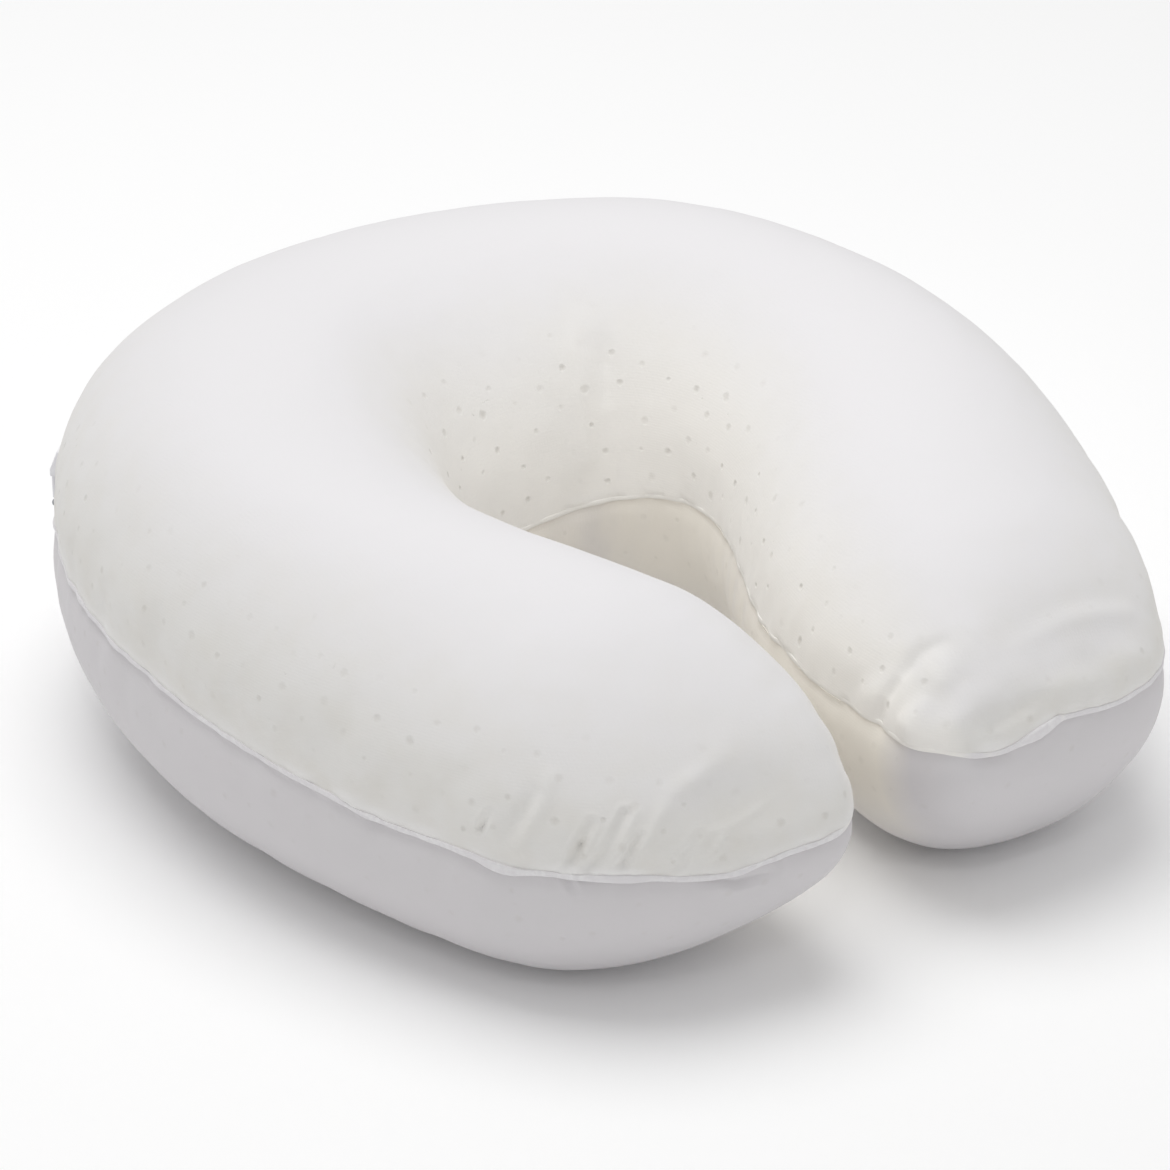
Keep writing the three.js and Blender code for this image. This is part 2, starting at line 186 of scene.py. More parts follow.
core = bmesh.new()
core.from_mesh(cover.data)
for _ in range(CORE_SMOOTHING):
    bmesh.ops.smooth_vert(
        core, verts=core.verts, factor=0.5, use_axis_x=True, use_axis_y=True, use_axis_z=True
    )
core.to_mesh(cover.data)
core.free()
places = points_of(cover.data)
on_solids = np.array([solids.find_nearest(Vector(place))[0] for place in places])
lie = normals_of(cover.data)
out = [solids.ray_cast(Vector(place), Vector(way), SHRUNK_MOST)[3] for place, way in zip(places, lie)]
out = np.array([gap or 0.0 for gap in out])
off_groove = np.abs(places[:, 2] - seam_height(places)) - GROOVE_REACH[0]
beside = np.flatnonzero(off_groove > 0)
nearest = KDTree(len(beside))
for index in beside:
    nearest.insert(Vector(places[index]), int(index))
nearest.balance()
for index in np.flatnonzero(off_groove <= 0):
    spanning = nearest.find_n(Vector(places[index]), GROOVE_SPANNED_BY)
    out[index] = np.mean([out[other] for _, other, _ in spanning])
trust = np.clip(off_groove / (GROOVE_REACH[1] - GROOVE_REACH[0]), 0, 1)[:, None]
moved = trust * (on_solids - places) + (1 - trust) * out[:, None] * lie
place_points(cover.data, places + moved - CORE_DRAW_IN * lie)


# The two-panel cover round the filling. It is cut a little larger than the core, held along the
# seam and where it lies on the floor, and pressure pushes the rest out, as the foam fills cloth.
SWELL_PRESSURE = 200
SWELL_SLACK = 0.025
SWELL_STIFFNESS = 5
SWELL_BENDING = 0.1
POINT_MASS = 0.05
SWELL_FRAMES = 20
SWELL_MOST = 1.6 * MM
HELD_BESIDE_SEAM = 4 * MM
HELD_OVER_FLOOR = 2 * MM
PRESSED_BELOW = 40 * MM
PRESSED_FLAT_BELOW = 10 * MM
PRESSED_SHARE = 0.2

before = points_of(cover.data)
from_seam = before[:, 2] - seam_height(before)
held = (np.abs(from_seam) < HELD_BESIDE_SEAM) | (before[:, 2] < HELD_OVER_FLOOR)
cover.vertex_groups.new(name="held").add(np.flatnonzero(held).tolist(), 1.0, "REPLACE")
swell = cover.modifiers.new("swell", "CLOTH").settings
swell.vertex_group_mass = "held"
swell.use_pressure = True
swell.uniform_pressure_force = SWELL_PRESSURE
swell.mass = POINT_MASS
swell.shrink_min = -SWELL_SLACK
swell.tension_stiffness = swell.compression_stiffness = swell.shear_stiffness = SWELL_STIFFNESS
swell.bending_stiffness = SWELL_BENDING
swell.effector_weights.gravity = 0
for step in range(1, SWELL_FRAMES + 1):
    bpy.context.scene.frame_set(step)
moved = points_of(cover.evaluated_get(bpy.context.evaluated_depsgraph_get()).to_mesh()) - before
cover.modifiers.clear()
cover.vertex_groups.clear()
bpy.context.scene.frame_set(1)
moved *= np.minimum(1, SWELL_MOST / np.maximum(np.linalg.norm(moved, axis=1), 1e-9))[:, None]
free = (before[:, 2:] - PRESSED_FLAT_BELOW) / (PRESSED_BELOW - PRESSED_FLAT_BELOW)
place_points(cover.data, before + moved * np.clip(free, PRESSED_SHARE, 1))
with_modifier(cover, "SUBSURF", levels=2, render_levels=2)


# How the cover lies, kept for its finish, which paints light and shade into its colour by it: how
# steep each spot is, and how far it looks in at the neck hole or the mouth.
MOUTH_LINE = ((0, 8), (-3, -160))
LOOKS_IN_BEGINS = 0.5
LOOKS_IN_GROWS = 2.2


def keep_on(piece, name, kind, values):
    """Keeps a value for each vertex on the piece, for its finish to read."""
    field = "vector" if kind == "FLOAT_VECTOR" else "value"
    values = np.ascontiguousarray(values, dtype=np.float32).ravel()
    piece.data.attributes.new(name, kind, "POINT").data.foreach_set(field, values)


def towards_mouth(places):
    """The level way from each place to the middle of the hole or of the gap between the arms."""
    a, b = (np.array(end) * MM for end in MOUTH_LINE)
    share = np.clip((places[:, :2] - a) @ (b - a) / ((b - a) @ (b - a)), 0, 1)
    way = a + share[:, None] * (b - a) - places[:, :2]
    return way / np.maximum(np.linalg.norm(way, axis=1, keepdims=True), 1e-9)


places, lie = points_of(cover.data), normals_of(cover.data)
looks_in = (towards_mouth(places) * lie[:, :2]).sum(axis=1)
keep_on(cover, "steep", "FLOAT", np.clip(1 - lie[:, 2], 0, 1))
keep_on(cover, "looks_in", "FLOAT", np.clip((looks_in - LOOKS_IN_BEGINS) * LOOKS_IN_GROWS, 0, 1))


# Loose cloth at the two arm ends, and faint puckers over the hole, in millimetres: each fold's
# path, its reach to each side, and its rise at the path's start, middle and end, or its depth
# where that is negative. A slit is sharp, with raised lips, and a soft fold fades away.
SLITS = (
    {"fold": "first slit", "reach": 0.8, "rise": (-1.6, -1.8, -0.5),
     "path": ((-109, -113, 53), (-107, -115, 58))},
    {"fold": "deep slit", "reach": 0.9, "rise": (-0.8, -2.8, -2.4),
     "path": ((-91, -135, 59), (-94, -134, 53), (-95, -131, 47))},
    {"fold": "its mark under the seam", "reach": 0.9, "rise": (-1.8, -1.4, -0.3),
     "path": ((-95, -131, 43), (-94, -133, 39))},
    {"fold": "third slit", "reach": 0.9, "rise": (-1.2, -2.2, -1.8),
     "path": ((-84, -139, 61), (-86, -139, 58), (-89, -138, 52), (-92, -135, 47))},
    {"fold": "short slit", "reach": 0.8, "rise": (-0.6, -1.8, -1.0),
     "path": ((-82, -143, 56), (-84, -142, 53), (-86, -141, 49))},
    {"fold": "slit before the patch", "reach": 1.0, "rise": (-1.0, -2.2, -1.2),
     "path": ((-68, -147, 54), (-72, -147, 50), (-73, -146, 47))},
    {"fold": "patch's lower edge", "reach": 1.1, "rise": (-0.3, -1.5, -0.4),
     "path": ((-66, -149, 41), (-58, -151, 39), (-49, -151, 39))},
)
SOFT_FOLDS = (
    {"fold": "shade over the tuck", "reach": 2.6, "rise": (-0.8, -1.6, -0.8),
     "path": ((23, -151, 58), (31, -150, 60), (38, -150, 61))},
    {"fold": "roll of slack cloth", "reach": 6.0, "rise": (0.6, 3.4, 4.0),
     "path": ((25, -138, 76), (17, -137, 70), (11, -137, 64), (7, -136, 57))},
    {"fold": "pocket beside the roll", "reach": 5.5, "rise": (-0.8, -2.6, -1.8),
     "path": ((28, -149, 62), (20, -150, 57), (21, -151, 51))},
    {"fold": "crease behind the roll", "reach": 2.2, "rise": (-1.4, -4.0, -3.6),
     "path": ((18, -133, 76), (13, -130, 73), (7, -128, 67), (4, -126, 60), (3, -124, 53))},
    {"fold": "hollow by the long ridge", "reach": 2.2, "rise": (-0.5, -1.4, -0.8),
     "path": ((-99, -123, 64), (-105, -119, 53))},
    {"fold": "long ridge", "reach": 2.2, "rise": (0.4, 1.5, 0.9),
     "path": ((-95, -124, 68), (-99, -124, 60), (-103, -122, 50))},
    {"fold": "ridge beside it", "reach": 1.4, "rise": (0.4, 1.6, 0.9),
     "path": ((-81, -140, 61), (-86, -140, 52), (-88, -138, 48))},
    {"fold": "last ridge", "reach": 1.6, "rise": (0.3, 1.4, 0.8),
     "path": ((-75, -143, 62), (-80, -143, 55), (-83, -142, 48))},
    {"fold": "patch's upper edge", "reach": 3.0, "rise": (0.4, 1.0, 0.5),
     "path": ((-57, -141, 69), (-66, -142, 66), (-72, -142, 64), (-75, -143, 61))},
    {"fold": "flattened patch", "reach": 8.0, "rise": (-1.2, -1.6, -1.2),
     "path": ((-66, -146, 57), (-50, -148, 60))},
    {"fold": "thin ridge over the patch", "reach": 1.2, "rise": (0.8, 1.1, 0.4),
     "path": ((-64, -148, 54), (-58, -148, 54), (-51, -148, 56), (-45, -147, 58))},
    {"fold": "patch's side edge", "reach": 1.3, "rise": (0.9, 1.0, 0.4),
     "path": ((-62, -149, 52), (-66, -149, 47))},
    {"fold": "tuck dying away", "reach": 1.3, "rise": (1.0, 0.7, 0.9),
     "path": ((44, -151, 56), (55, -150, 55), (62, -149, 54), (68, -147, 53))},
    {"fold": "brow", "reach": 3.2, "rise": (0.4, 1.0, 0.8),
     "path": ((37, -140, 72), (43, -140, 73), (54, -138, 73), (64, -138, 72), (75, -137, 69))},
    {"fold": "slack under the brow", "reach": 5.0, "rise": (-1.0, -1.5, -1.0),
     "path": ((41, -147, 65), (54, -146, 65), (68, -143, 64))},
    {"fold": "full edge of the left arm", "reach": 15.0, "rise": (1.6, 2.2, 1.8),
     "path": ((-33, -100, 87), (-31, -118, 80), (-27, -138, 68), (-25, -149, 54), (-27, -151, 42))},
    {"fold": "pucker over the hole", "reach": 3.0, "rise": (0.2, 0.8, 0.5),
     "path": ((32, 48, 97), (28, 43, 90), (25, 32, 61))},
    {"fold": "hollow beside that", "reach": 2.6, "rise": (-0.2, -0.8, -0.4),
     "path": ((36, 42, 94), (32, 34, 77))},
)
FINER_BESIDE_FOLDS = 14 * MM
FINEST_BESIDE_SLITS = 3.5 * MM
SLIT_LIP = 0.2
SLIT_LIP_PLACE = 2.4


def near_path(places, path):
    """How far each place is from a line of straight pieces, and how far along it, from 0 to 1."""
    corners = np.array(path) * MM
    spans = np.linalg.norm(np.diff(corners, axis=0), axis=1)
    nearest, along = np.full(len(places), np.inf), np.zeros(len(places))
    for a, b, gone, span in zip(corners, corners[1:], np.cumsum(spans) - spans, spans):
        share = np.clip((places - a) @ (b - a) / span**2, 0, 1)
        distance = np.linalg.norm(places - a - share[:, None] * (b - a), axis=1)
        along = np.where(distance < nearest, (gone + share * span) / spans.sum(), along)
        nearest = np.minimum(nearest, distance)
    return nearest, along


def subdivide_beside(folds, reach):
    """Splits the cover's edges in two within reach of the folds."""
    finer = bmesh.new()
    finer.from_mesh(cover.data)
    places = points_of(cover.data)
    near = np.min([near_path(places, row["path"])[0] for row in folds], axis=0) < reach
    edges = [e for e in finer.edges if all(near[v.index] for v in e.verts)]
    bmesh.ops.subdivide_edges(finer, edges=edges, cuts=1, use_grid_fill=True)
    finer.to_mesh(cover.data)
    finer.free()


subdivide_beside(SLITS + SOFT_FOLDS, FINER_BESIDE_FOLDS)
subdivide_beside(SLITS, FINEST_BESIDE_SLITS)
places = points_of(cover.data)
lift = np.zeros(len(places))
for row in SLITS + SOFT_FOLDS:
    distance, along = near_path(places, row["path"])
    share = distance / (row["reach"] * MM)
    if row in SLITS:
        left = np.exp(-share) - SLIT_LIP * np.exp(-((share - SLIT_LIP_PLACE) ** 2))
    else:
        left = np.exp(-(share**2))
    lift += np.interp(along, (0, 0.5, 1), row["rise"]) * MM * left


# How the cover meets its seam. The upper panel's edge rolls out over the stitches in an uneven
# hem, the lower panel draws in under it, and both gather a little along them. The foam below
# gives the whole cover an unevenness, and the zip's slider presses its own seat flat.
DRAW_IN = 0.7 * MM
DRAW_IN_REACH = 3.0 * MM
HEM_RISE = 0.6 * MM
HEM_PLACE = 2.0 * MM
HEM_REACH = 1.5 * MM
HEM_LENGTH = 9 * MM
HEM_MEAN = 0.6
HEM_VARIES = 1.6
HEM_MOST = 1.4
GATHERS = 0.35 * MM
GATHER_LENGTH = 5 * MM
GATHER_REACH = 6 * MM
UNEVEN = ((0.35 * MM, 30 * MM), (0.10 * MM, 8 * MM))
ZIP_SEAT_ACROSS = 9 * MM
ZIP_SEAT_GAP = 0.2 * MM


def read_back(piece, name):
    """A value that the piece keeps for each vertex."""
    values = np.empty(len(piece.data.vertices), dtype=np.float32)
    piece.data.attributes[name].data.foreach_get("value", values)
    return values


def along_seam(places, length, level=0):
    """Soft noise that varies along the seam and not up and down, from -1 to 1."""
    return np.array([noise.noise(Vector((x / length, y / length, level))) for x, y, _ in places])


from_seam = places[:, 2] - seam_height(places)
hem = np.exp(-(((from_seam - HEM_PLACE) / HEM_REACH) ** 2))
hem *= np.clip(HEM_MEAN + HEM_VARIES * along_seam(places, HEM_LENGTH), 0, HEM_MOST)
hem *= 1 - read_back(cover, "looks_in")
lift += HEM_RISE * hem * (from_seam > 0)
lift -= DRAW_IN * np.exp(-((from_seam / DRAW_IN_REACH) ** 2)) * (from_seam <= 0)
lift += GATHERS * along_seam(places, GATHER_LENGTH) * np.exp(-((from_seam / GATHER_REACH) ** 2))
for height, length in UNEVEN:
    lift += height * np.array([noise.noise(Vector(place) / length) for place in places])
places += lift[:, None] * normals_of(cover.data)
slider_points = points_of(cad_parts["zip_slider"].data)
from_zip = np.linalg.norm(places - slider_points.mean(axis=0), axis=1) / ZIP_SEAT_ACROSS
zip_out = normals_of(cover.data)[from_zip < 1].mean(axis=0) * (1, 1, 0)
zip_out /= np.linalg.norm(zip_out)
over_seat = np.maximum(places @ zip_out - (slider_points @ zip_out).min() + ZIP_SEAT_GAP, 0)
places -= (over_seat * np.clip(2 - from_zip, 0, 1))[:, None] * zip_out
places[:, 2] = np.maximum(places[:, 2], 0)
place_points(cover.data, places)
keep_on(cover, "hem", "FLOAT", np.clip(hem, 0, 1))


# The two panels of the cover, cut apart along the seam. Each one's edge turns in behind the
# seam, and the filling's cut closes it, so both are whole cushions.
LIP_ABOVE_SEAM = 0.8 * MM
LIP_BELOW_SEAM = 0.25 * MM
TURNED_IN = 3.5 * MM


def walk_round(rim):
    """The vertices of a closed line of edges, in order."""
    edge = [rim[0].verts[0], rim[0].verts[1]]
    loose = set(rim) - {rim[0]}
    while loose:
        onward = next((e for e in edge[-1].link_edges if e in loose), None)
        if onward is None:
            break
        loose.discard(onward)
        edge.append(onward.other_vert(edge[-1]))
    return edge[:-1] if edge[-1] is edge[0] else edge


def cut_panel(name, upper):
    """One panel of the cover: what lies above the seam, or below it. Also its edge, in order."""
    panel = bmesh.new()
    panel.from_mesh(cover.data)
    line = LIP_ABOVE_SEAM if upper else -LIP_BELOW_SEAM
    for way in (-1, 1):
        heights = seam_height(np.array([v.co for v in panel.verts])) + line
        for vert, height in zip(panel.verts, heights):
            vert.co.z += way * height
        if way < 0:
            bmesh.ops.bisect_plane(
                panel,
                geom=panel.verts[:] + panel.edges[:] + panel.faces[:],
                dist=JOINED_WITHIN,
                plane_co=(0, 0, 0),
                plane_no=(0, 0, 1 if upper else -1),
                clear_inner=True,
            )
    panel.normal_update()
    rim = [e for e in panel.edges if e.is_boundary]
    for e in rim:
        e.smooth = False
    edge = walk_round(rim)
    inwards = {v: -Vector((v.normal.x, v.normal.y, 0)).normalized() for v in edge}
    edge_places = [(v.co.copy(), -inwards[v]) for v in edge]
    nearest = KDTree(len(edge))
    for i, v in enumerate(edge):
        nearest.insert(v.co, i)
    nearest.balance()
    turned = bmesh.ops.extrude_edge_only(panel, edges=rim)["geom"]
    for v in turned:
        if isinstance(v, bmesh.types.BMVert):
            v.co += inwards[edge[nearest.find(v.co)[1]]] * TURNED_IN
    bmesh.ops.triangle_fill(panel, edges=[e for e in panel.edges if e.is_boundary], use_beauty=True)
    bmesh.ops.recalc_face_normals(panel, faces=panel.faces)
    for face in panel.faces:
        face.smooth = True
    mesh = bpy.data.meshes.new(name)
    panel.to_mesh(mesh)
    panel.free()
    return shown(name, mesh), edge_places


upper_cover, upper_edge = cut_panel("upper_cover", True)
lower_cover, _ = cut_panel("lower_cover", False)
bpy.data.objects.remove(cover)


# The upper panel: a fine stretch knit, ivory, over a core moulded round thin pins. The core's
# pinholes show through it as small dimples where it is stretched over the sides.
PINHOLE_SPACING = 8 * MM
PINHOLE_RADII = (0.8 * MM, 1.6 * MM)
PINHOLE_DEPTH = 0.28 * MM
PINHOLE_SHARES = (0.1, 1.0)
PINHOLE_KNOWN_WITHIN = 3 * MM
PINHOLES_FROM_SEAM = 5 * MM
PINHOLE_TRIES = 40000
PINHOLES_BEGIN_STEEP = 0.26
PINHOLES_FULL_STEEP = 0.5
OUTSIDE_SHOW = 0.65
SHEEN_ROUGHNESS = 0.5
PINHOLE_DARKNESS = 0.45
COURSE_TO_WALE = 0.8


def mark_pinholes(piece, allowed, strength, seed):
    """Scatters pinholes evenly, and keeps the way from each vertex to the nearest one, in radii."""
    places = points_of(piece.data)
    chance = np.random.default_rng(seed)
    cells = {}
    centres = KDTree(PINHOLE_TRIES)
    radii, depths = [], []
    for index in chance.permutation(np.flatnonzero(allowed))[:PINHOLE_TRIES]:
        place = places[index]
        x, y, z = (place // PINHOLE_SPACING).astype(int)
        around = ((x + i, y + j, z + k) for i in (-1, 0, 1) for j in (-1, 0, 1) for k in (-1, 0, 1))
        taken = (other for cell in around for other in cells.get(cell, ()))
        if all(math.dist(place, other) > PINHOLE_SPACING for other in taken):
            cells.setdefault((x, y, z), []).append(place)
            centres.insert(Vector(place), len(radii))
            radii.append(chance.uniform(*PINHOLE_RADII))
            depths.append(chance.uniform(*PINHOLE_SHARES))
    centres.balance()
    found = [centres.find(Vector(place)) for place in places]
    nearest = np.array([hit[1] for hit in found])
    offsets = np.array([hit[0] for hit in found]) - places
    near = np.array([hit[2] for hit in found]) < PINHOLE_KNOWN_WITHIN
    keep_on(piece, "to_pinhole", "FLOAT_VECTOR", offsets / np.array(radii)[nearest, None])
    keep_on(piece, "pinhole_depth", "FLOAT", np.array(depths)[nearest] * near * strength)


class Link:
    """A shader's socket that takes part in Python sums."""

    def __init__(self, finish, socket):
        self.finish = finish
        self.socket = socket

    def sum(self, operation, *others):
        return self.finish.node("ShaderNodeMath", {"operation": operation}, dict(enumerate(others)))

    def __add__(self, other):
        return self.sum("ADD", self, other)

    def __sub__(self, other):
        return self.sum("SUBTRACT", self, other)

    def __rsub__(self, other):
        return self.sum("SUBTRACT", other, self)

    def __mul__(self, other):
        return self.sum("MULTIPLY", self, other)

    def __truediv__(self, other):
        return self.sum("DIVIDE", self, other)

    def __pow__(self, other):
        return self.sum("POWER", self, other)

    def in_range(self):
        return self.finish.node("ShaderNodeClamp", {}, {"Value": self})

    def wave(self, length):
        return self.sum("SINE", self * (2 * math.pi / length)) * 0.5 + 0.5

    __radd__ = __add__
    __rmul__ = __mul__


class Finish:
    """A material and its shader."""

    def __init__(self, name, roughness, sheen=0.0):
        self.material = bpy.data.materials.new(name)
        self.material.use_nodes = True
        self.tree = self.material.node_tree
        self.shader = self.tree.nodes["Principled BSDF"]
        self.shader.inputs["Roughness"].default_value = roughness
        self.shader.inputs["Sheen Weight"].default_value = sheen
        self.shader.inputs["Sheen Roughness"].default_value = SHEEN_ROUGHNESS

    def node(self, kind, settings, values, output=0):
        """A node of any kind: its settings, then its sockets' values or links."""
        made = self.tree.nodes.new(kind)
        for name, value in settings.items():
            setattr(made, name, value)
        self.feed(made, values)
        return Link(self, made.outputs[output])

    def feed(self, node, values):
        for name, value in values.items():
            if isinstance(value, Link):
                self.tree.links.new(value.socket, node.inputs[name])
            else:
                node.inputs[name].default_value = value

    def blend(self, factor, first, second):
        """One colour, then the other as the factor grows."""
        return self.node("ShaderNodeMix", {"data_type": "RGBA"}, {0: factor, 6: first, 7: second}, 2)

    def kept(self, name, output="Fac"):
        """A value that the piece keeps for each vertex."""
        return self.node("ShaderNodeAttribute", {"attribute_name": name}, {}, output)

    def place(self):
        """The spot on the piece, in metres."""
        return self.node("ShaderNodeTexCoord", {}, {}, "Object")

    def across(self, axis):
        """How far along one axis the spot on the piece is."""
        return self.node("ShaderNodeSeparateXYZ", {}, {"Vector": self.place()}, axis)

    def grain(self, size, detail=2.0):
        """Soft noise of a given size, from 0 to 1."""
        values = {"Vector": self.place(), "Scale": 1 / size, "Detail": detail}
        return self.node("ShaderNodeTexNoise", {}, values)

    def knit(self, wale, steep):
        """Rows of fine stitches: across the top by width and length, down the sides by height."""
        course = wale * COURSE_TO_WALE
        flat = self.across("X").wave(wale) * self.across("Y").wave(course)
        upright = self.across("Z").wave(course)
        return flat * (1 - steep) + upright * steep

    def finish(self, piece, colour, height):
        """Gives the shader its colour and relief, and the piece this material."""
        bump = self.node("ShaderNodeBump", {}, {"Strength": 1.0, "Distance": 1.0, "Height": height})
        self.feed(self.shader, {"Base Color": colour, "Normal": bump})
        piece.data.materials.clear()
        piece.data.materials.append(self.material)


UPPER_PAINTED_LIT_TOP = (0.755, 0.743, 0.755, 1)
UPPER_PAINTED_SHADED_SIDES = (0.768, 0.756, 0.733, 1)
UPPER_MOTTLE_AND_PAINTED_SHADE = (0.735, 0.715, 0.675, 1)
UPPER_PAINTED_HOLE_LIGHT = (0.90, 0.88, 0.845, 1)
UPPER_HEM = (0.82, 0.81, 0.80, 1)
PINHOLE_SHADE = (0.50, 0.47, 0.42, 1)
PINHOLE_RAGGED = 0.8
PINHOLE_RAGGED_SIZE = 2.2 * MM
PIT_SHARPNESS = 1.5
WALE = 0.9 * MM
KNIT_RELIEF = 0.012 * MM
FUZZ_SIZE = 0.9 * MM
FUZZ_RELIEF = 0.04 * MM
MOTTLE_SIZE = 11 * MM
HEM_SHOWS = 0.8

upper_places = points_of(upper_cover.data)
off_seam = upper_places[:, 2] - seam_height(upper_places) > PINHOLES_FROM_SEAM
stretched = read_back(upper_cover, "steep") - PINHOLES_BEGIN_STEEP
stretched /= PINHOLES_FULL_STEEP - PINHOLES_BEGIN_STEEP
shows = OUTSIDE_SHOW + (1 - OUTSIDE_SHOW) * read_back(upper_cover, "looks_in")
mark_pinholes(upper_cover, off_seam, np.clip(stretched, 0, 1) * shows, seed=4)
knit = Finish("upper_knit", roughness=0.9, sheen=0.1)
steep = knit.kept("steep")
to_pinhole = knit.node(
    "ShaderNodeVectorMath", {"operation": "LENGTH"}, {0: knit.kept("to_pinhole", "Vector")}, "Value"
)
ragged = to_pinhole + (knit.grain(PINHOLE_RAGGED_SIZE) - 0.5) * PINHOLE_RAGGED
pit = ((1 - ragged * ragged).in_range() ** PIT_SHARPNESS) * knit.kept("pinhole_depth")
relief = knit.grain(FUZZ_SIZE) * FUZZ_RELIEF + knit.knit(WALE, steep) * KNIT_RELIEF - pit * PINHOLE_DEPTH
# Painted light and shade: the flat top is painted a cooler white and the steep sides a warmer ivory.
colour = knit.blend((steep * 1.6 - 0.1).in_range(), UPPER_PAINTED_LIT_TOP, UPPER_PAINTED_SHADED_SIDES)
# Random darker, warmer mottling that grows with steepness: random tone, and painted shade on the sides.
colour = knit.blend(((knit.grain(MOTTLE_SIZE) - 0.4) * steep * 2.4).in_range(), colour, UPPER_MOTTLE_AND_PAINTED_SHADE)
# Painted light: the steep walls that look into the neck hole and the mouth are painted a brighter cream.
colour = knit.blend((knit.kept("looks_in") * steep * 1.4).in_range(), colour, UPPER_PAINTED_HOLE_LIGHT)
colour = knit.blend(knit.kept("hem") * HEM_SHOWS, colour, UPPER_HEM)
# Painted shade: each pinhole's dimple is also darkened in colour, as shade in the pit.
knit.finish(upper_cover, knit.blend(pit * PINHOLE_DARKNESS, colour, PINHOLE_SHADE), relief)
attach(upper_cover, "root")
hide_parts("upper_panel")


# The lower panel: a smoother, cooler knit round the band and the underside. Where it lines the
# neck hole and the mouth it is painted a brighter warm tan, painted bounce light from the cloth
# around it. A few pinholes show near the seam.
LOWER_LILAC = (0.675, 0.65, 0.665, 1)
LOWER_GREY = (0.655, 0.64, 0.65, 1)
LOWER_PAINTED_BOUNCE = (0.86, 0.82, 0.75, 1)
PAINTED_BOUNCE_BEGINS = 137 * MM
PAINTED_BOUNCE_WITHIN = 12 * MM
LOWER_PINHOLES_WITHIN = 20 * MM
LOWER_PINHOLES = 0.35
LOWER_FUZZ_SIZE = 0.8 * MM
LOWER_FUZZ_RELIEF = 0.03 * MM
LOWER_PATCHES = 26 * MM

lower_places = points_of(lower_cover.data)
below_seam = seam_height(lower_places) - lower_places[:, 2]
beside_seam = (below_seam > PINHOLES_FROM_SEAM) & (below_seam < LOWER_PINHOLES_WITHIN)
mark_pinholes(lower_cover, beside_seam, LOWER_PINHOLES, seed=9)
band = Finish("lower_knit", roughness=0.92, sheen=0.1)
to_pinhole = band.node(
    "ShaderNodeVectorMath", {"operation": "LENGTH"}, {0: band.kept("to_pinhole", "Vector")}, "Value"
)
pit = ((1 - to_pinhole * to_pinhole).in_range() ** PIT_SHARPNESS) * band.kept("pinhole_depth")
upright = (1 - band.kept("steep")) * 0.5 + 0.5
relief = band.grain(LOWER_FUZZ_SIZE) * LOWER_FUZZ_RELIEF + band.knit(WALE, upright.in_range()) * KNIT_RELIEF
colour = band.blend(band.grain(LOWER_PATCHES), LOWER_LILAC, LOWER_GREY)
past_the_tips = ((band.across("Y") + PAINTED_BOUNCE_BEGINS) / PAINTED_BOUNCE_WITHIN).in_range()
# Painted bounce light: the walls that look into the hole and the mouth, past the arm tips, are painted a
# brighter warm tan.
colour = band.blend(band.kept("looks_in") * past_the_tips, colour, LOWER_PAINTED_BOUNCE)
# Painted shade: the pinholes here are darkened in colour too, as shade in the pit.
colour = band.blend(pit * PINHOLE_DARKNESS, colour, PINHOLE_SHADE)
band.finish(lower_cover, colour, relief - pit * PINHOLE_DEPTH)
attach(lower_cover, "root")
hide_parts("lower_panel")


# The sewn edge: both panels' raw edges overlocked together, a thin frilled cord of cloth and
# thread that stands a little out of the seam on the outside and sinks into it round the hole.
EDGE_STEP = 1.1 * MM
EDGE_TALL = 0.75 * MM
EDGE_DEEP = 0.6 * MM
EDGE_SIDES = 16
EDGE_SQUARENESS = 0.5
EDGE_STANDS_OUT = 0.2 * MM
EDGE_SUNK_IN_HOLE = 0.5 * MM
EDGE_FRILL = 0.35 * MM
EDGE_FRILL_UP = 0.1 * MM
EDGE_FRILL_LENGTH = 6 * MM
EDGE_SWELLS = 0.25
EDGE_SMOOTHING = 3
EDGE_FULL_AT = (
    {"full": "the bright tuck", "at": (36, -151), "reach": 6, "by": 1.3},
    {"full": "beside the first slit", "at": (-105, -117), "reach": 6, "by": 0.9},
    {"full": "beside the last slit", "at": (-84, -138), "reach": 7, "by": 0.9},
)


def even_steps(line, step):
    """Places a step apart on a closed line of (place, outwards) pairs, and the way outwards."""
    places = np.array([place for place, _ in line])
    ways = np.array([way for _, way in line])
    places, ways = np.vstack([places, places[:1]]), np.vstack([ways, ways[:1]])
    run = np.concatenate([[0], np.cumsum(np.linalg.norm(np.diff(places, axis=0), axis=1))])
    at = np.linspace(0, run[-1], int(run[-1] / step), endpoint=False)
    return [np.column_stack([np.interp(at, run, column) for column in each.T]) for each in (places, ways)]


line, ways = even_steps(upper_edge, EDGE_STEP)
for _ in range(EDGE_SMOOTHING):
    line = (np.roll(line, 1, axis=0) + 2 * line + np.roll(line, -1, axis=0)) / 4
line[:, 2] -= (LIP_ABOVE_SEAM + LIP_BELOW_SEAM) / 2
in_hole = np.clip((towards_mouth(line) * ways[:, :2]).sum(axis=1) * 2 - 0.2, 0, 1)
stands_out = EDGE_STANDS_OUT - EDGE_DEEP / 2 - EDGE_SUNK_IN_HOLE * in_hole
stands_out += EDGE_FRILL * along_seam(line, EDGE_FRILL_LENGTH)
thick = 1 + EDGE_SWELLS * along_seam(line, EDGE_FRILL_LENGTH, 2)
for row in EDGE_FULL_AT:
    away = np.hypot(*(line[:, :2] - np.array(row["at"]) * MM).T) / (row["reach"] * MM)
    thick += row["by"] * np.exp(-(away**2))
line += ways * stands_out[:, None]
line[:, 2] += EDGE_FRILL_UP * along_seam(line, EDGE_FRILL_LENGTH, 1)

